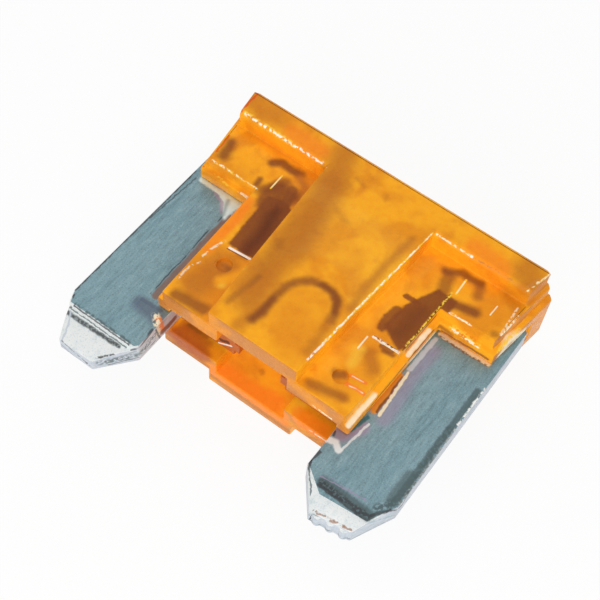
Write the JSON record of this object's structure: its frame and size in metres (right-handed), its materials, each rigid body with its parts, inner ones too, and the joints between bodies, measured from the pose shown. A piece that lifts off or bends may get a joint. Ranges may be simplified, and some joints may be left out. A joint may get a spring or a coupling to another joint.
{
  "type": "automotive blade fuse",
  "caption": "Low-profile mini blade fuse: T-shaped translucent amber housing moulded round a stamped zinc element with two coined blades.",
  "frame": {"origin": "centre of the base of the bounding box, with the fuse lying on its back", "axes": "+X across the two blades, +Y from the blade tips to the head top, +Z out of the front face"},
  "size_m": [0.011, 0.0094, 0.0038],
  "materials": {
    "amber_plastic": "gloss, translucent amber",
    "zinc": "rolled zinc alloy with lengthwise streaks"
  },
  "bodies": {
    "root": {"housing": "amber_plastic", "fuse_element": "zinc"}
  },
  "joints": []
}
